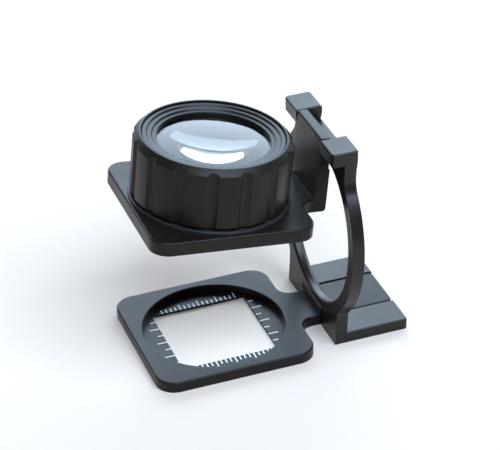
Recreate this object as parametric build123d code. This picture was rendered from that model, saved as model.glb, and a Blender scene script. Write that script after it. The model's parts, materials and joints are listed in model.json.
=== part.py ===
"""Folding viewing loupe: a stand with a round hoop, a hinged scale plate and a hinged, focusing lens arm.

Millimetres. The origin is the middle of the foot's underside, +Z is up, and +X points from the scale
plate towards the foot. Positions along X are first worked out from the stand's front face ("station")
and are moved to the origin when each part is written.
"""
import os

from build123d import *

# Stand
stand_half_width = 16.5
foot_length = 20.0
foot_thickness = 2.9
upright_thickness = 3.1
upright_lean = 3.3              # degrees, the hoop leans away from the scale plate
hoop_inner_radius = 20.9
hoop_outer_radius = 24.6
hoop_height = 27.6              # height of the hoop's centre
barrel_relief = 1.15            # chamfer on the hoop's back rim, where the barrel swings in
waist_fillet = 6.0              # where the hoop runs into the crossbar
toe_fillet = 2.5                # where the hoop runs into the foot
hoop_edge = 0.6
foot_corner = 0.9
foot_edge = 0.4
crossbar_top = 52.3
crossbar_relief = 2.6           # depth of the rest behind the hinge
block_top = 55.4
block_front = -0.2
block_back = 6.75
block_taper_top = 53.6          # heights between which the back of a block runs into the hoop
block_taper_low = 50.0
block_taper_depth = 6.0
block_inner = 8.05              # half of the gap between the two blocks
block_corner = 1.0
block_edge = 0.45
pin_cover = 1.5                 # solid wall over the near end of each pin

# Foot leaf, between the two strips of the foot
leaf_half_width = 6.85
slot_near = -7.25                # the far slot is the wider one
slot_far = 7.55
leaf_start = 2.7
leaf_end = 19.75
leaf_corner = 1.1
leaf_edge = 0.3

# Lens arm
upper_axis = (1.45, 53.95)      # station and height of the hinge axis
upper_pin_radius = 0.7
pin_clearance = 0.04            # in the knuckles, which turn on the pins
knuckle_half_depth = 1.45
panel_half_width = 7.85
panel_depth = 3.3
panel_step = 7.4                # below the axis, where the panel gets thicker
lens_drop = 15.6                # axis down to the top of the lens plate
lens_reach = 26.4               # axis out to the optical axis
lens_plate_size = 42.0
lens_plate_offset = 0.2         # plate's middle, from the optical axis towards the hinge
lens_plate_thickness = 3.5
lens_plate_corner = 4.6
lens_plate_edge = 0.5
arm_neck_fillet = 3.4
panel_edge = 0.9
knuckle_edge = 0.55
arm_rest_tilt = 6.77            # degrees, arm against its stop

# Scale plate
lower_axis = (0.95, 3.8)
lower_pin_radius = 0.6
lower_knuckle_radius = 1.3
scale_size = 41.7
scale_thickness = 2.8
scale_corner = 5.1
scale_edge = 0.45
scale_gap = 6.0                 # stand's front face to the plate's edge
neck_half_width = 6.4
neck_fillet = 3.6
recess_radius = 18.35
recess_depth = 2.15
recess_edge = 0.25
aperture_half = 12.6
mark_width = 0.33
mark_thickness = 0.06
fine_pitch = 1.25
fine_mark_long = 2.4
fine_mark_short = 1.65
fine_count = 17
fine_start_near = -8.9          # first mark of each fine row, from the plate's middle
fine_start_far = -9.7
coarse_pitch = 3.175
coarse_mark_long = 2.6
coarse_mark_short = 1.5

# Focus barrel, heights measured from the top of the lens plate
barrel_radius = 19.8
barrel_bottom = 1.35
barrel_top = 17.0
barrel_bevel = 1.5
flute_count = 15
flute_phase = 10.9              # degrees, first flute from +X
flute_radius = 2.0
flute_depth = 0.75
rim_inner = 17.8                # grip's top rim, inner edge
grip_bore = 17.1
shelf_height = 14.9             # grip's inner shelf, under the bezel
collar_radius = 20.1
collar_height = 0.8
collar_edge = 0.25
plate_hole = 17.0
bush_bore = 16.03
cell_outer = 15.95
cell_inner = 15.05
cell_bottom = -1.5
cell_top = 14.6
bezel_radius = 17.6
bezel_step_count = 3
bezel_step_pitch = 1.3
bezel_slope_width = 0.32
bezel_step_drop = 0.43
bezel_lip_radius = 13.95
bezel_lip_bottom = 14.78
lens_radius = 14.9
lens_clear_radius = 13.9
bezel_seat = 15.0               # underside of the bezel's flange
bezel_seat_radius = 16.9
upper_lens_edge = (12.4, 14.7)  # heights of the lens's rim
upper_lens_rises = (1.9, 1.0)   # how far the lower and the upper face bulge
lower_lens_edge = (5.0, 7.6)
lower_lens_rises = (1.2, 1.2)
retaining_ring_height = 2.2

scale_centre = -(scale_gap + scale_size / 2)
lens_centre = upper_axis[0] - lens_reach
plate_top = upper_axis[1] - lens_drop


def block(x0, x1, y0, y1, z0, z1):
    """A box given by its limits."""
    return Pos((x0 + x1) / 2, (y0 + y1) / 2, (z0 + z1) / 2) * Box(x1 - x0, y1 - y0, z1 - z0)


def y_rod(radius, y0, y1, axis):
    """A cylinder along Y at a hinge axis."""
    return Pos(axis[0], (y0 + y1) / 2, axis[1]) * Rot(90, 0, 0) * Cylinder(radius, y1 - y0)


def turned(points):
    """A solid of revolution about Z from its (radius, height) outline."""
    outline = [(radius, 0, height) for radius, height in points]
    return revolve(make_face(Polyline(*outline, close=True)), Axis.Z, 360)


def ring(inner, outer, z0, z1):
    return turned([(inner, z0), (outer, z0), (outer, z1), (inner, z1)])


def edges_at_height(shape, height):
    return [edge for edge in shape.edges() if abs(edge.bounding_box().min.Z - height) < 1e-3
            and abs(edge.bounding_box().max.Z - height) < 1e-3]


def lean(shape):
    """Lean the hoop about the line where its front face meets the ground."""
    return Rot(0, upright_lean, 0) * shape


def make_stand():
    outline = Circle(hoop_outer_radius)
    below_ground = 2
    height = crossbar_top + below_ground
    outline += Pos(0, height / 2 - below_ground - hoop_height) * Rectangle(2 * stand_half_width, height)
    corners = [v for v in outline.vertices() if abs(Vector(v).length - hoop_outer_radius) < 0.01]
    outline = fillet([v for v in corners if v.Y > 0], waist_fillet)
    corners = [v for v in outline.vertices() if abs(Vector(v).length - hoop_outer_radius) < 0.01]
    outline = fillet([v for v in corners if v.Y < 0 and abs(abs(v.X) - stand_half_width) < 0.01], toe_fillet)
    outline -= Circle(hoop_inner_radius)
    hoop = extrude(Plane((0, 0, hoop_height), x_dir=(0, 1, 0), z_dir=(1, 0, 0)) * outline, upright_thickness)
    rims = [e for e in hoop.edges() if e.geom_type == GeomType.CIRCLE
            and abs(e.radius - hoop_inner_radius) < 0.01]
    hoop = fillet([e for e in rims if e.center().X < 1], hoop_edge)
    rims = [e for e in hoop.edges() if e.geom_type == GeomType.CIRCLE
            and abs(e.radius - hoop_inner_radius) < 0.01 and e.center().X > upright_thickness - 0.1]
    hoop = chamfer(rims, barrel_relief)
    stand = lean(hoop) - block(-5, 30, -30, 30, -5, 0)

    foot = block(0, foot_length, -stand_half_width, stand_half_width, 0, foot_thickness)
    ends = [e for e in foot.edges().filter_by(Axis.Z) if e.center().X > foot_length - 1]
    foot = fillet(ends, foot_corner)
    rim = [e for e in edges_at_height(foot, foot_thickness) if e.center().X > 0.1]
    foot = fillet(rim, foot_edge)
    foot -= lean(block(-5, 0, -30, 30, -5, 10))
    stand += foot

    stand += block(upper_axis[0] + knuckle_half_depth + 0.2, block_taper_depth, -block_inner - 0.5,
                   block_inner + 0.5, crossbar_top - crossbar_relief, crossbar_top)
    side_view = Polyline((block_front, 0, crossbar_top - 0.4), (block_front, 0, block_top),
                         (block_back, 0, block_top), (block_back, 0, block_taper_top),
                         (block_taper_depth, 0, block_taper_low), (upright_thickness, 0, block_taper_low),
                         (upright_thickness, 0, crossbar_top - 0.4), close=True)
    for side in (-1, 1):
        width = stand_half_width - block_inner
        top = extrude(make_face(side_view), width, dir=(0, side, 0))
        top = Pos(0, side * block_inner, 0) * top
        corners = [e for e in top.edges().filter_by(Axis.Z) if abs(e.center().Y) > block_inner + 1
                   and e.center().Z > crossbar_top]
        top = fillet(corners, block_corner)
        stand += fillet(edges_at_height(top, block_top), block_edge)

    # Slots beside the leaf, and the notch that takes the scale plate's knuckle
    slot_top = foot_thickness + 0.6
    stand -= block(leaf_start - 0.2, foot_length + 1, slot_near, slot_far, -1, slot_top)
    notch_top = lower_axis[1] + lower_knuckle_radius + 0.25
    stand -= block(-1, leaf_start + 0.1, -neck_half_width - 0.25, neck_half_width + 0.25, -1, notch_top)
    # Pin holes, blind on the near side
    for radius, axis in ((upper_pin_radius, upper_axis), (lower_pin_radius, lower_axis)):
        stand -= y_rod(radius + 0.02, pin_cover - stand_half_width, stand_half_width + 1, axis)
    return stand


def make_leaf():
    leaf = block(leaf_start, leaf_end, -leaf_half_width, leaf_half_width, 0, foot_thickness)
    ends = [e for e in leaf.edges().filter_by(Axis.Z) if e.center().X > foot_length / 2]
    leaf = fillet(ends, leaf_corner)
    rim = [e for e in edges_at_height(leaf, foot_thickness) if e.center().X > leaf_start + 0.1]
    return fillet(rim, leaf_edge)


def hinge_pin(radius, axis):
    return y_rod(radius, pin_cover - stand_half_width + 0.1, stand_half_width - 0.1, axis)


def make_upper_pin():
    return hinge_pin(upper_pin_radius, upper_axis)


def make_lower_pin():
    return hinge_pin(lower_pin_radius, lower_axis)


def plate_with_neck(size, corner, centre, neck_half, neck_end, neck_radius):
    """A square plate's outline with a neck towards +X, filleted where the neck leaves the plate."""
    edge = centre + size / 2
    outline = Pos(centre, 0) * RectangleRounded(size, size, corner)
    outline += Pos((edge - 2 + neck_end) / 2, 0) * Rectangle(neck_end - edge + 2, 2 * neck_half)
    inner = [v for v in outline.vertices() if abs(v.X - edge) < 0.01 and abs(abs(v.Y) - neck_half) < 0.01]
    return fillet(inner, neck_radius)


def make_scale_plate():
    outline = plate_with_neck(scale_size, scale_corner, scale_centre, neck_half_width, lower_axis[0],
                              neck_fillet)
    plate = extrude(outline, scale_thickness)
    rim = [e for e in edges_at_height(plate, scale_thickness) if e.center().X < -scale_gap - 0.5]
    plate = fillet(rim, scale_edge)
    recess_floor = scale_thickness - recess_depth
    recess = Pos(scale_centre, 0, recess_floor) * Cylinder(recess_radius, recess_depth + 1,
                                                            align=(Align.CENTER, Align.CENTER, Align.MIN))
    plate -= recess
    lip = [e for e in edges_at_height(plate, scale_thickness) if e.geom_type == GeomType.CIRCLE
           and abs(e.radius - recess_radius) < 0.01]
    plate = fillet(lip, recess_edge)
    plate -= block(scale_centre - aperture_half, scale_centre + aperture_half,
                   -aperture_half, aperture_half, -1, scale_thickness)
    knuckle = block(lower_axis[0] - lower_knuckle_radius, lower_axis[0] + lower_knuckle_radius,
                    -neck_half_width, neck_half_width, 1.0, lower_axis[1])
    knuckle += y_rod(lower_knuckle_radius, -neck_half_width, neck_half_width, lower_axis)
    plate += knuckle
    bore_end = neck_half_width + 1
    return plate - y_rod(lower_pin_radius + pin_clearance, -bore_end, bore_end, lower_axis)


def mark(x0, x1, y0, y1):
    floor = scale_thickness - recess_depth
    return block(x0, x1, y0, y1, floor, floor + mark_thickness)


def make_fine_marks():
    """Two rows along X: every fourth mark is a long one."""
    marks = []
    for side, start in ((-1, fine_start_near), (1, fine_start_far)):
        for index in range(fine_count):
            x = scale_centre + start + fine_pitch * index
            length = fine_mark_long if index % 4 == 0 and index > 0 else fine_mark_short
            y0, y1 = sorted((side * aperture_half, side * (aperture_half + length)))
            marks.append(mark(x - mark_width / 2, x + mark_width / 2, y0, y1))
    return Compound(children=marks)


def make_coarse_marks():
    """Two rows along Y: every second mark is a long one."""
    marks = []
    for index in range(-3, 4):
        y = coarse_pitch * index
        length = coarse_mark_long if index % 2 == 0 else coarse_mark_short
        for side in (-1, 1):
            x0, x1 = sorted((side * aperture_half, side * (aperture_half + length)))
            marks.append(mark(scale_centre + x0, scale_centre + x1, y - mark_width / 2, y + mark_width / 2))
    return Compound(children=marks)


def tilt(shape):
    """Swing a part of the lens arm from level to its rest angle about the upper hinge."""
    x, z = upper_axis
    return Pos(x, 0, z) * Rot(0, arm_rest_tilt, 0) * Pos(-x, 0, -z) * shape


def on_arm(shape):
    """Place a part drawn about the optical axis, with z = 0 at the top of the lens plate."""
    return tilt(Pos(lens_centre, 0, plate_top) * shape)


def make_lens_arm():
    x, z = upper_axis
    front = x - knuckle_half_depth
    bottom = plate_top - lens_plate_thickness
    centre = lens_centre + lens_plate_offset
    outline = plate_with_neck(lens_plate_size, lens_plate_corner, centre, panel_half_width, front + 1,
                              arm_neck_fillet)
    plate = Pos(0, 0, bottom) * extrude(outline, lens_plate_thickness)
    rim = [e for e in edges_at_height(plate, plate_top) if e.center().X < centre + lens_plate_size / 2 + 0.1]
    plate = fillet(rim, lens_plate_edge)
    panel = block(front, front + panel_depth, -panel_half_width, panel_half_width, bottom, z - panel_step)
    low_edge = [e for e in edges_at_height(panel, bottom) if e.center().X > front + panel_depth - 0.1]
    panel = fillet(low_edge, panel_edge)
    knuckle = block(front, x + knuckle_half_depth, -panel_half_width, panel_half_width,
                    z - panel_step, z + knuckle_half_depth)
    knuckle = fillet([e for e in edges_at_height(knuckle, z + knuckle_half_depth)
                      if abs(e.center().Y) < 0.1], knuckle_edge)
    arm = plate + panel + knuckle
    arm -= Pos(lens_centre, 0, plate_top) * Cylinder(plate_hole, 20)
    arm -= y_rod(upper_pin_radius + pin_clearance, -panel_half_width - 1, panel_half_width + 1, upper_axis)
    return tilt(arm)


def make_focus_bush():
    """Threaded bush pressed into the lens plate; its collar shows under the barrel."""
    bottom = -lens_plate_thickness + 0.4
    body = turned([(bush_bore, bottom), (plate_hole, bottom), (plate_hole, 0), (collar_radius, 0),
                   (collar_radius, collar_height), (bush_bore, collar_height)])
    top = [e for e in edges_at_height(body, collar_height) if abs(e.radius - collar_radius) < 0.01]
    return on_arm(fillet(top, collar_edge))


def make_lens_cell():
    """Threaded tube that carries the glass; its top seats the bezel."""
    lip = cell_inner - 1.1
    body = turned([(lip, cell_bottom), (cell_outer - 0.5, cell_bottom), (cell_outer, cell_bottom + 0.5),
                   (cell_outer, cell_top), (cell_inner, cell_top), (cell_inner, 0.2), (lip, 0.2)])
    return on_arm(body)


def make_bezel():
    """Ring with steps that fall towards the lens; it screws onto the cell and holds the grip down."""
    height = barrel_top - bezel_step_drop
    points = [(bezel_radius, bezel_seat), (bezel_radius, height)]
    radius = bezel_radius
    for _ in range(bezel_step_count - 1):
        points.append((radius - bezel_step_pitch + bezel_slope_width, height))
        radius -= bezel_step_pitch
        height -= bezel_step_drop
        points.append((radius, height))
    points += [(bezel_lip_radius + 0.2, height), (bezel_lip_radius, height - 0.4),
               (bezel_lip_radius, bezel_lip_bottom), (cell_inner, bezel_lip_bottom), (cell_inner, cell_top),
               (bezel_seat_radius, cell_top), (bezel_seat_radius, bezel_seat)]
    return on_arm(turned(points))


def cap(radius, rise):
    """A spherical cap standing on z = 0."""
    ball = (radius ** 2 + rise ** 2) / (2 * rise)
    base = Pos(0, 0, rise / 2) * Cylinder(radius, rise)
    return base & Pos(0, 0, rise - ball) * Sphere(ball)


def convex_lens(edge_low, edge_high, rise_low, rise_high):
    """A round lens: a flat rim with a spherical face on each side."""
    rim = Pos(0, 0, (edge_low + edge_high) / 2) * Cylinder(lens_radius, edge_high - edge_low)
    upper = Pos(0, 0, edge_high) * cap(lens_clear_radius, rise_high)
    lower = Pos(0, 0, edge_low) * Rot(180, 0, 0) * cap(lens_clear_radius, rise_low)
    return rim + upper + lower


def make_upper_lens():
    return on_arm(convex_lens(*upper_lens_edge, *upper_lens_rises))


def make_lens_spacer():
    return on_arm(ring(lens_clear_radius + 0.05, lens_radius, lower_lens_edge[1], upper_lens_edge[0]))


def make_lower_lens():
    return on_arm(convex_lens(*lower_lens_edge, *lower_lens_rises))


def make_retaining_ring():
    """Ring under the lower lens, with two slots for the tool that screws it in."""
    bottom = lower_lens_edge[0] - retaining_ring_height
    body = ring(lens_clear_radius + 0.05, lens_radius, bottom, lower_lens_edge[0])
    slot = block(lens_clear_radius, lens_radius + 1, -0.7, 0.7, bottom - 1, bottom + 0.7)
    for angle in (0, 180):
        body -= Rot(0, 0, angle) * slot
    return on_arm(body)


def make_grip():
    """Fluted ring that the fingers turn."""
    body = turned([(grip_bore, barrel_bottom), (barrel_radius - 0.3, barrel_bottom),
                   (barrel_radius, barrel_bottom + 0.3), (barrel_radius, barrel_top - barrel_bevel),
                   (barrel_radius - barrel_bevel, barrel_top), (rim_inner + 0.25, barrel_top),
                   (rim_inner, barrel_top - 0.25), (rim_inner, shelf_height), (grip_bore, shelf_height)])
    flute_centre = barrel_radius + flute_radius - flute_depth
    for index in range(flute_count):
        angle = flute_phase + 360 / flute_count * index
        height = barrel_top - barrel_bottom + 2
        body -= Rot(0, 0, angle) * Pos(flute_centre, 0, (barrel_top + barrel_bottom) / 2) * Cylinder(
            flute_radius, height)
    return on_arm(body)


parts = {
    "stand_frame": make_stand,
    "foot_leaf": make_leaf,
    "upper_hinge_pin": make_upper_pin,
    "lower_hinge_pin": make_lower_pin,
    "scale_plate": make_scale_plate,
    "fine_scale_marks": make_fine_marks,
    "coarse_scale_marks": make_coarse_marks,
    "lens_arm": make_lens_arm,
    "focus_bush": make_focus_bush,
    "lens_cell": make_lens_cell,
    "stepped_bezel": make_bezel,
    "upper_lens": make_upper_lens,
    "lens_spacer": make_lens_spacer,
    "lower_lens": make_lower_lens,
    "lens_retaining_ring": make_retaining_ring,
    "focus_grip": make_grip,
}

os.makedirs("parts", exist_ok=True)
for name, make in parts.items():
    export_step(Pos(-foot_length / 2, 0, 0) * make(), f"parts/{name}.step")
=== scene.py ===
"""Visual model of the folding viewing loupe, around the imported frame. Metres."""
import json
import math

import bpy
from mathutils import Matrix, Vector


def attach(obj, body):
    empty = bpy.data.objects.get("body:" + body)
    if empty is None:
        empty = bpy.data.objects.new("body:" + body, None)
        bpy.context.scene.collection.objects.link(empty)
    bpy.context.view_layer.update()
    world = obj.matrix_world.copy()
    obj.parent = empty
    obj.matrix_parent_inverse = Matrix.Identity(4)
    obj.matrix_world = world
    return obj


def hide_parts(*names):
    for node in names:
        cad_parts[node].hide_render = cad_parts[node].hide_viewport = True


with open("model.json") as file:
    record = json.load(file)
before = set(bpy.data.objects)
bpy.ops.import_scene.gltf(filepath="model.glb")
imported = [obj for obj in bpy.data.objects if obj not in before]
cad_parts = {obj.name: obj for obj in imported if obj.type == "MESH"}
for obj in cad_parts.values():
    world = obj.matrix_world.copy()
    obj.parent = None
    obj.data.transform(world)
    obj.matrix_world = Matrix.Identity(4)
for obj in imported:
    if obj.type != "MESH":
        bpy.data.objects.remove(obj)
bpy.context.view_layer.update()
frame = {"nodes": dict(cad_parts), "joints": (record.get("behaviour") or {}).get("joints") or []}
nodes = frame["nodes"]
MM = 0.001

# Shared with the design: the arm's axes in the row frame
joints = {joint["name"]: joint for joint in frame["joints"]}
OPTICAL_DOWN = Vector(joints["focus_lift"]["axis"])
OPTICAL_UP = -OPTICAL_DOWN
PLATE_TOP = Vector(joints["focus_turn"]["pos_m"])       # lens plate's top, on the optical axis
ARM = Matrix.Translation(PLATE_TOP) @ Matrix.Rotation(math.atan2(OPTICAL_UP.x, OPTICAL_UP.z), 4, "Y")

# Barrel sizes in millimetres, heights from the top of the lens plate
BARREL_RADIUS = 19.8
BARREL_BOTTOM = 1.35
BARREL_TOP = 17.0
BARREL_BEVEL = 1.5
RIM_INNER = 17.8
GRIP_BORE = 17.1
SHELF = 14.9
FLUTES = 15
FLUTE_PHASE = math.radians(10.9)
FLUTE_RADIUS = 2.0
FLUTE_DEPTH = 0.75
BEZEL_RADIUS = 17.6
BEZEL_STEPS = 3
STEP_PITCH = 1.3
STEP_SLOPE = 0.32
STEP_DROP = 0.43
LIP_RADIUS = 13.95
LIP_BOTTOM = 14.78
LIP_CHAMFER = (0.2, 0.4)
SEAT_RADIUS = 16.9
SEAT_HEIGHT = 15.0
CELL_INNER = 15.05
CELL_TOP = 14.6
LENS_RADIUS = 14.9
LENS_CLEAR = 13.9
UPPER_LENS_EDGE = (12.4, 14.7)  # heights of the rim
UPPER_LENS_RISES = (1.9, 1.0)   # how far the lower and the upper face bulge
LOWER_LENS_EDGE = (5.0, 7.6)
LOWER_LENS_RISES = (1.2, 1.2)

# Wear and grain of the surfaces; noise scales are per metre, bump heights in metres
NOISE_ROUGHNESS = 0.55
CLOUD_SCALE = 95.0              # slow changes of tone and gloss
SPECK_SCALE = 2600.0            # breaks up the worn edges
GRAIN_SCALE = 9000.0
GRAIN_HEIGHT = 0.000006
RIPPLE_SCALE = 420.0
RIPPLE_HEIGHT = 0.00002
PRINT_SCALE = 3500.0
PRINT_HEIGHT = 0.00001
DRAWN_SCALE = (9000.0, 600.0, 9000.0)   # fine lines along the pins
HAZE_SCALE = 160.0
PAPER_SCALE = 900.0
CLOUD_LIFT = 1.35               # palest tone of a black, against its base
EDGE_DOTS = (0.99, 0.9)         # rounded against true normal, where wear starts and is full
CONVEX_POINTINESS = (0.498, 0.502)
BEVEL_SAMPLES = 6
WORN_EDGE = 0.0003              # metres, how far the wear reaches in from an edge
ROUNDED_EDGE = 0.00022          # metres, how round the edges are shaded

# Turned and bevelled meshes, in millimetres and degrees
CORNER_SEGMENTS = 3
CORNER_SHARE = 0.45             # most of an outline's side that a rounded corner may take
GRIP_CORNER = 0.16
GRIP_FOOT_CHAMFER = 0.3
BEVEL_ROWS = 8                  # rows of faces across the grip's bevel and notches
BEVEL_SPAN = (0.5, 3.0)         # only the bevel's side of the outline has a length between these
STEPS_PER_FLUTE = 48
FLUTE_BLEND = 0.1               # rounding where a flute meets the barrel
BEZEL_CORNER = 0.09
BEZEL_STEPS_ROUND = 288
LENS_CHAMFER = 0.12
LENS_RINGS = 28
LENS_STEPS_ROUND = 160
TURNED_SHARP_ANGLE = 30
LENS_SHARP_ANGLE = 18

# Shading of the CAD meshes
CAD_SHARP_ANGLE = 32
FLAT_SHARE = 0.008              # a plane with this share of the surface is shaded flat

# Camera, aimed at a point in millimetres, with its angles in radians
CAMERA_YAW, CAMERA_PITCH, CAMERA_ROLL = 0.333, 0.558, -0.032
CAMERA_TARGET = (-24.65, 4.29, 27.42)
CAMERA_DISTANCE = 568.35
FOCAL_PIXELS = 2246.6
FRAME_WIDTH = 500
SENSOR_WIDTH = 36.0

# Floor and light, in metres and watts
CLIP_START = 0.02
FLOOR_HALF = 1.6
FLOOR_DROP = 0.00002            # keeps the floor off the foot's underside
FLOOR_TONES = (0.76, 0.66, 0.585), (0.8, 0.695, 0.615)
WORLD_COLOR = (1.0, 0.97, 0.93, 1.0)
WORLD_STRENGTH = 0.22
BACK_SOFTBOX = {"location": (0.36, 0.84, 0.48), "aim": (0, 0, 0.03), "size": (1.7, 0.72),
                "energy": 16.5, "color": (0.8, 1.0, 1.22)}
TOP_SOFTBOX = {"location": (0.08, -0.45, 0.8), "aim": (-0.02, 0, 0.03), "size": (0.9, 0.45),
               "energy": 10.0, "color": (0.82, 1.0, 1.22)}

# Specular levels
BLACK_GLOSS = 0.22
STAND_GLOSS = 0.36
GLASS_GLOSS = 0.34
GLASS_IOR = 1.52


# ---------------------------------------------------------------- shader helpers

def new_material(name):
    """A material with only a Principled shader and its output: returns it, its node tree and the shader."""
    material = bpy.data.materials.new(name)
    material.use_nodes = True
    tree = material.node_tree
    tree.nodes.clear()
    shader = tree.nodes.new("ShaderNodeBsdfPrincipled")
    output = tree.nodes.new("ShaderNodeOutputMaterial")
    tree.links.new(shader.outputs["BSDF"], output.inputs["Surface"])
    return material, tree, shader


def add(tree, kind, **values):
    """A node, with its properties and input values set by name."""
    node = tree.nodes.new(kind)
    for key, value in values.items():
        if key in node.inputs:
            node.inputs[key].default_value = value
        else:
            setattr(node, key, value)
    return node


def noise(tree, coords, scale, detail):
    node = add(tree, "ShaderNodeTexNoise", Scale=scale, Detail=detail, Roughness=NOISE_ROUGHNESS)
    tree.links.new(coords, node.inputs["Vector"])
    return node.outputs["Fac"]


def ramp(tree, factor, low, high, low_value, high_value):
    """Map a factor to a range of values."""
    node = tree.nodes.new("ShaderNodeMapRange")
    node.inputs["From Min"].default_value = low
    node.inputs["From Max"].default_value = high
    node.inputs["To Min"].default_value = low_value
    node.inputs["To Max"].default_value = high_value
    tree.links.new(factor, node.inputs["Value"])
    return node.outputs["Result"]


def multiply(tree, first, second):
    node = tree.nodes.new("ShaderNodeMath")
    node.operation = "MULTIPLY"
    tree.links.new(first, node.inputs[0])
    tree.links.new(second, node.inputs[1])
    return node.outputs["Value"]


def mix_color(tree, factor, first, second):
    node = tree.nodes.new("ShaderNodeMix")
    node.data_type = "RGBA"
    for socket, value in ((6, first), (7, second)):
        if isinstance(value, tuple):
            node.inputs[socket].default_value = (*value, 1.0)
        else:
            tree.links.new(value, node.inputs[socket])
    tree.links.new(factor, node.inputs[0])
    return node.outputs[2]


def object_coords(tree):
    return tree.nodes.new("ShaderNodeTexCoord").outputs["Object"]


def bump(tree, height, strength, distance, normal=None):
    """A bumped normal, on top of another one if given."""
    node = add(tree, "ShaderNodeBump", Strength=strength, Distance=distance)
    tree.links.new(height, node.inputs["Height"])
    if normal is not None:
        tree.links.new(normal, node.inputs["Normal"])
    return node.outputs["Normal"]


def edge_wear(tree):
    """0 on flats and rising to 1 on convex edges, from how far a rounded normal leaves the true one."""
    geometry = tree.nodes.new("ShaderNodeNewGeometry")
    rounded = add(tree, "ShaderNodeBevel", samples=BEVEL_SAMPLES, Radius=WORN_EDGE)
    turn = tree.nodes.new("ShaderNodeVectorMath")
    turn.operation = "DOT_PRODUCT"
    tree.links.new(rounded.outputs["Normal"], turn.inputs[0])
    tree.links.new(geometry.outputs["Normal"], turn.inputs[1])
    edge = ramp(tree, turn.outputs["Value"], *EDGE_DOTS, 0.0, 1.0)
    convex = ramp(tree, geometry.outputs["Pointiness"], *CONVEX_POINTINESS, 0.0, 1.0)
    return multiply(tree, edge, convex)


# ---------------------------------------------------------------- materials

def moulded_black(name, base, worn, rough_low, rough_high, gloss=BLACK_GLOSS):
    """Satin black moulding: fine grain, faint clouding, slightly paler edges."""
    material, tree, shader = new_material(name)
    coords = object_coords(tree)
    cloud = noise(tree, coords, CLOUD_SCALE, 4.0)
    wear = edge_wear(tree)
    speck = noise(tree, coords, SPECK_SCALE, 2.0)
    tone = mix_color(tree, ramp(tree, cloud, 0.35, 0.7, 0.0, 1.0), base, tuple(CLOUD_LIFT * c for c in base))
    scuffed = multiply(tree, wear, ramp(tree, speck, 0.38, 0.62, 0.25, 1.0))
    color = mix_color(tree, scuffed, tone, worn)
    tree.links.new(color, shader.inputs["Base Color"])
    tree.links.new(ramp(tree, cloud, 0.3, 0.7, rough_low, rough_high), shader.inputs["Roughness"])
    fine = noise(tree, coords, GRAIN_SCALE, 2.0)
    ripple = noise(tree, coords, RIPPLE_SCALE, 2.0)
    rounded = add(tree, "ShaderNodeBevel", samples=BEVEL_SAMPLES, Radius=ROUNDED_EDGE)
    first = bump(tree, fine, 0.5, GRAIN_HEIGHT, rounded.outputs["Normal"])
    tree.links.new(bump(tree, ripple, 0.25, RIPPLE_HEIGHT, first), shader.inputs["Normal"])
    shader.inputs["Specular IOR Level"].default_value = gloss
    return material


def white_print():
    material, tree, shader = new_material("white_print")
    coords = object_coords(tree)
    patch = noise(tree, coords, PRINT_SCALE, 3.0)
    color = mix_color(tree, ramp(tree, patch, 0.35, 0.65, 0.0, 1.0), (0.62, 0.68, 0.74), (0.86, 0.9, 0.93))
    tree.links.new(color, shader.inputs["Base Color"])
    shader.inputs["Roughness"].default_value = 0.5
    tree.links.new(bump(tree, patch, 0.4, PRINT_HEIGHT), shader.inputs["Normal"])
    return material


def pin_steel():
    material, tree, shader = new_material("pin_steel")
    coords = object_coords(tree)
    stretch = add(tree, "ShaderNodeMapping", Scale=DRAWN_SCALE)
    tree.links.new(coords, stretch.inputs["Vector"])
    lines = noise(tree, stretch.outputs["Vector"], 1.0, 2.0)
    shader.inputs["Metallic"].default_value = 1.0
    color = mix_color(tree, lines, (0.16, 0.16, 0.17), (0.3, 0.3, 0.31))
    tree.links.new(color, shader.inputs["Base Color"])
    tree.links.new(ramp(tree, lines, 0.3, 0.7, 0.28, 0.42), shader.inputs["Roughness"])
    return material


def optical_glass():
    material, tree, shader = new_material("optical_glass")
    coords = object_coords(tree)
    haze = noise(tree, coords, HAZE_SCALE, 3.0)
    color = mix_color(tree, haze, (0.76, 0.78, 0.78), (0.78, 0.8, 0.8))
    tree.links.new(color, shader.inputs["Base Color"])
    tree.links.new(ramp(tree, haze, 0.3, 0.8, 0.0, 0.02), shader.inputs["Roughness"])
    shader.inputs["Transmission Weight"].default_value = 1.0
    shader.inputs["IOR"].default_value = GLASS_IOR
    shader.inputs["Specular IOR Level"].default_value = GLASS_GLOSS
    return material


def give(target, material):
    target.data.materials.clear()
    target.data.materials.append(material)


# ---------------------------------------------------------------- mesh helpers

def mesh_object(name, vertices, faces, matrix):
    """A smooth shaded mesh from millimetre points, placed by a matrix in the row frame."""
    mesh = bpy.data.meshes.new(name)
    mesh.from_pydata([matrix @ (Vector(v) * MM) for v in vertices], [], faces)
    mesh.validate()
    mesh.update()
    mesh.polygons.foreach_set("use_smooth", [True] * len(mesh.polygons))
    made = bpy.data.objects.new(name, mesh)
    bpy.context.scene.collection.objects.link(made)
    return made


def revolved(name, profile, matrix, count, squeeze=None):
    """A ring turned from a closed (radius, height) outline; squeeze(angle, radius) can change each radius."""
    vertices = []
    for step in range(count):
        angle = 2 * math.pi * step / count
        for radius, height in profile:
            if squeeze:
                radius = squeeze(angle, radius)
            vertices.append((radius * math.cos(angle), radius * math.sin(angle), height))
    size = len(profile)
    faces = []
    for step in range(count):
        here, there = step * size, (step + 1) % count * size
        for k in range(size):
            after = (k + 1) % size
            faces.append((here + k, there + k, there + after, here + after))
    return mesh_object(name, vertices, faces, matrix)


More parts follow.
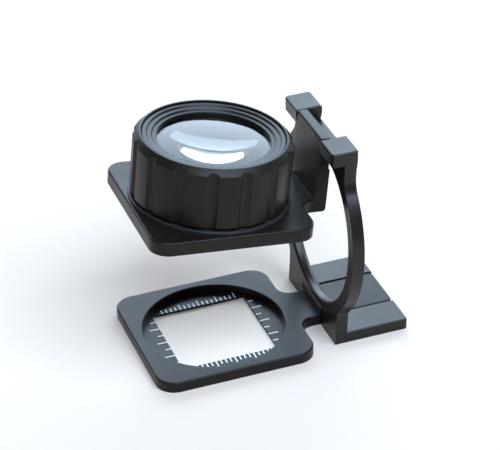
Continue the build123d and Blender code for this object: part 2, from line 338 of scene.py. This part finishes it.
def soften(points, radius):
    """Round every corner of a closed (radius, height) outline."""
    rounded = []
    total = len(points)
    for index, point in enumerate(points):
        corner = Vector(point)
        before = Vector(points[index - 1]) - corner
        after = Vector(points[(index + 1) % total]) - corner
        reach = min(radius, before.length * CORNER_SHARE, after.length * CORNER_SHARE)
        start = corner + before.normalized() * reach
        end = corner + after.normalized() * reach
        for step in range(CORNER_SEGMENTS + 1):
            t = step / CORNER_SEGMENTS
            rounded.append(tuple((1 - t) ** 2 * start + 2 * t * (1 - t) * corner + t ** 2 * end))
    return rounded


def smooth_cad(node):
    """Smooth shading on a CAD mesh up to an edge angle; its large plane faces stay flat shaded."""
    mesh = nodes[node].data
    facing = [tuple(round(c, 3) for c in polygon.normal) for polygon in mesh.polygons]
    areas = {}
    for key, polygon in zip(facing, mesh.polygons):
        areas[key] = areas.get(key, 0.0) + polygon.area
    limit = FLAT_SHARE * sum(areas.values())
    mesh.polygons.foreach_set("use_smooth", [areas[key] < limit for key in facing])
    mesh.set_sharp_from_angle(angle=math.radians(CAD_SHARP_ANGLE))


# ---------------------------------------------------------------- camera, floor and light

def make_camera():
    reach = math.cos(CAMERA_PITCH)
    forward = Vector((math.sin(CAMERA_YAW) * reach, math.cos(CAMERA_YAW) * reach, -math.sin(CAMERA_PITCH)))
    level = Vector((math.cos(CAMERA_YAW), -math.sin(CAMERA_YAW), 0.0))
    right = level * math.cos(CAMERA_ROLL) + level.cross(forward) * math.sin(CAMERA_ROLL)
    up = right.cross(forward)
    rotation = Matrix((right, up, -forward)).transposed()
    data = bpy.data.cameras.new("camera")
    data.sensor_width = SENSOR_WIDTH
    data.lens = FOCAL_PIXELS / FRAME_WIDTH * SENSOR_WIDTH
    data.clip_start = CLIP_START
    camera = bpy.data.objects.new("camera", data)
    position = Vector(CAMERA_TARGET) * MM - forward * (CAMERA_DISTANCE * MM)
    camera.matrix_world = Matrix.Translation(position) @ rotation.to_4x4()
    bpy.context.scene.collection.objects.link(camera)
    bpy.context.scene.camera = camera


def area_light(name, location, aim, size, energy, color):
    data = bpy.data.lights.new(name, "AREA")
    data.shape = "RECTANGLE"
    data.size, data.size_y = size
    data.energy = energy
    data.color = color
    light = bpy.data.objects.new(name, data)
    direction = Vector(aim) - Vector(location)
    light.location = location
    light.rotation_mode = "QUATERNION"
    light.rotation_quaternion = direction.to_track_quat("-Z", "Y")
    bpy.context.scene.collection.objects.link(light)


def make_studio():
    corners = [(-FLOOR_HALF, -FLOOR_HALF, 0), (FLOOR_HALF, -FLOOR_HALF, 0),
               (FLOOR_HALF, FLOOR_HALF, 0), (-FLOOR_HALF, FLOOR_HALF, 0)]
    mesh = bpy.data.meshes.new("floor")
    mesh.from_pydata(corners, [], [(0, 1, 2, 3)])
    floor = bpy.data.objects.new("floor", mesh)
    floor.location.z = -FLOOR_DROP
    bpy.context.scene.collection.objects.link(floor)
    material, tree, shader = new_material("pale_floor")
    coords = object_coords(tree)
    paper = noise(tree, coords, PAPER_SCALE, 4.0)
    tone = mix_color(tree, paper, *FLOOR_TONES)
    tree.links.new(tone, shader.inputs["Base Color"])
    shader.inputs["Roughness"].default_value = 0.9
    give(floor, material)

    bpy.context.scene.view_settings.view_transform = "Standard"
    world = bpy.data.worlds.new("studio")
    world.use_nodes = True
    background = world.node_tree.nodes["Background"]
    background.inputs["Color"].default_value = WORLD_COLOR
    background.inputs["Strength"].default_value = WORLD_STRENGTH
    bpy.context.scene.world = world
    area_light("back_softbox", **BACK_SOFTBOX)
    area_light("top_softbox", **TOP_SOFTBOX)


# ---------------------------------------------------------------- pieces

def flute_radius_at(angle):
    """Outer radius of the fluted grip at an angle, with the edges of the flutes a little rounded."""
    centre = BARREL_RADIUS + FLUTE_RADIUS - FLUTE_DEPTH
    pitch = 2 * math.pi / FLUTES
    off = (angle - FLUTE_PHASE + pitch / 2) % pitch - pitch / 2
    sideways = centre * math.sin(off)
    if abs(sideways) >= FLUTE_RADIUS:
        return BARREL_RADIUS
    gap = BARREL_RADIUS - (centre * math.cos(off) - math.sqrt(FLUTE_RADIUS ** 2 - sideways ** 2))
    if gap <= -FLUTE_BLEND:
        return BARREL_RADIUS
    if gap >= FLUTE_BLEND:
        return BARREL_RADIUS - gap
    return BARREL_RADIUS - (gap + FLUTE_BLEND) ** 2 / (4 * FLUTE_BLEND)


def make_grip(material):
    """Turned ring whose wall follows the flutes, which notch the round bevel above them."""
    bevel_inner = BARREL_RADIUS - BARREL_BEVEL
    outline = soften([(GRIP_BORE, BARREL_BOTTOM), (BARREL_RADIUS - GRIP_FOOT_CHAMFER, BARREL_BOTTOM),
                      (BARREL_RADIUS, BARREL_BOTTOM + GRIP_FOOT_CHAMFER),
                      (BARREL_RADIUS, BARREL_TOP - BARREL_BEVEL), (bevel_inner, BARREL_TOP),
                      (RIM_INNER, BARREL_TOP), (RIM_INNER, SHELF), (GRIP_BORE, SHELF)], GRIP_CORNER)
    dense = []
    for index, point in enumerate(outline):
        dense.append(point)
        after = outline[(index + 1) % len(outline)]
        sloped = BEVEL_SPAN[0] < math.dist(point, after) < BEVEL_SPAN[1]
        if sloped and point[0] > bevel_inner and after[0] > bevel_inner:
            for step in range(1, BEVEL_ROWS):
                t = step / BEVEL_ROWS
                dense.append((point[0] + (after[0] - point[0]) * t, point[1] + (after[1] - point[1]) * t))

    def squeeze(angle, radius):
        if radius < bevel_inner:
            return radius
        return min(radius, flute_radius_at(angle))

    grip = revolved("focus_grip_body", dense, ARM, FLUTES * STEPS_PER_FLUTE, squeeze)
    grip.data.set_sharp_from_angle(angle=math.radians(TURNED_SHARP_ANGLE))
    give(grip, material)
    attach(grip, "grip")
    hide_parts("focus_grip")


def make_bezel(material):
    """Stepped ring: each step is flat and ends in a steep slope down to the next one."""
    height = BARREL_TOP - STEP_DROP
    radius = BEZEL_RADIUS
    points = [(BEZEL_RADIUS, SEAT_HEIGHT), (BEZEL_RADIUS, height)]
    for _ in range(BEZEL_STEPS - 1):
        points.append((radius - STEP_PITCH + STEP_SLOPE, height))
        radius -= STEP_PITCH
        height -= STEP_DROP
        points.append((radius, height))
    points += [(LIP_RADIUS + LIP_CHAMFER[0], height), (LIP_RADIUS, height - LIP_CHAMFER[1]),
               (LIP_RADIUS, LIP_BOTTOM), (CELL_INNER, LIP_BOTTOM), (CELL_INNER, CELL_TOP),
               (SEAT_RADIUS, CELL_TOP), (SEAT_RADIUS, SEAT_HEIGHT)]
    bezel = revolved("stepped_bezel_body", soften(points, BEZEL_CORNER), ARM, BEZEL_STEPS_ROUND)
    bezel.data.set_sharp_from_angle(angle=math.radians(TURNED_SHARP_ANGLE))
    give(bezel, material)
    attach(bezel, "optics")
    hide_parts("stepped_bezel")


def cap_heights(edge, rise):
    """(radius, height) points of a spherical cap from its edge in to the pole."""
    ball = (LENS_CLEAR ** 2 + rise ** 2) / (2 * abs(rise))
    points = []
    for step in range(LENS_RINGS):
        radius = LENS_CLEAR * (1 - step / LENS_RINGS)
        sag = math.sqrt(ball ** 2 - radius ** 2) - (ball - abs(rise))
        points.append((radius, edge + math.copysign(sag, rise)))
    return points


def make_lens(name, node, edge, rises, material):
    """A polished lens: chamfered rim, small flat seats and two spherical faces."""
    edge_low, edge_high = edge
    rise_low, rise_high = rises
    upper = cap_heights(edge_high, rise_high)
    lower = cap_heights(edge_low, -rise_low)
    rim = LENS_RADIUS - LENS_CHAMFER
    profile = upper[::-1] + [(rim, edge_high), (LENS_RADIUS, edge_high - LENS_CHAMFER),
                             (LENS_RADIUS, edge_low + LENS_CHAMFER), (rim, edge_low)] + lower
    count = LENS_STEPS_ROUND
    vertices = [(0.0, 0.0, edge_high + rise_high)]
    for radius, height in profile:
        for step in range(count):
            angle = 2 * math.pi * step / count
            vertices.append((radius * math.cos(angle), radius * math.sin(angle), height))
    vertices.append((0.0, 0.0, edge_low - rise_low))
    faces = []
    last = len(vertices) - 1
    for step in range(count):
        after = (step + 1) % count
        faces.append((0, 1 + step, 1 + after))
        faces.append((last, last - count + after, last - count + step))
        for row in range(len(profile) - 1):
            base = 1 + row * count
            faces.append((base + step, base + count + step, base + count + after, base + after))
    lens = mesh_object(name, vertices, faces, ARM)
    lens.data.set_sharp_from_angle(angle=math.radians(LENS_SHARP_ANGLE))
    give(lens, material)
    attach(lens, "optics")
    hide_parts(node)


black = moulded_black("satin_black", (0.0075, 0.0062, 0.0052), (0.03, 0.032, 0.035), 0.3, 0.4)
black_stand = moulded_black("stand_black", (0.0075, 0.0064, 0.0056), (0.03, 0.032, 0.035), 0.28, 0.38,
                            STAND_GLOSS)
black_grip = moulded_black("fluted_black", (0.0085, 0.0066, 0.005), (0.022, 0.023, 0.025), 0.34, 0.46)
black_bezel = moulded_black("turned_black", (0.0065, 0.0068, 0.0073), (0.04, 0.043, 0.048), 0.3, 0.38)
# The collar's black has a raised base colour as a painted highlight, standing in for the thin bright line of
# light along its rounded edge; its lower roughness is its own satin finish.
bush_painted_highlight = moulded_black("satin_bush", (0.02, 0.0205, 0.0215), (0.07, 0.075, 0.08), 0.24, 0.32)
matt_black = moulded_black("matt_black", (0.006, 0.006, 0.0065), (0.012, 0.012, 0.013), 0.6, 0.75)
print_white = white_print()
steel = pin_steel()
glass = optical_glass()

finishes = {
    "stand_frame": black_stand, "foot_leaf": black,
    "scale_plate": black, "lens_arm": black, "focus_bush": bush_painted_highlight,
    "upper_hinge_pin": steel, "lower_hinge_pin": steel,
    "fine_scale_marks": print_white, "coarse_scale_marks": print_white,
    "lens_cell": matt_black, "lens_spacer": matt_black, "lens_retaining_ring": matt_black,
    "upper_lens": glass, "lower_lens": glass, "stepped_bezel": black_bezel, "focus_grip": black_grip,
}
for node, material in finishes.items():
    give(nodes[node], material)
    smooth_cad(node)

make_grip(black_grip)
make_bezel(black_bezel)
make_lens("upper_lens_glass", "upper_lens", UPPER_LENS_EDGE, UPPER_LENS_RISES, glass)
make_lens("lower_lens_glass", "lower_lens", LOWER_LENS_EDGE, LOWER_LENS_RISES, glass)
make_camera()
make_studio()
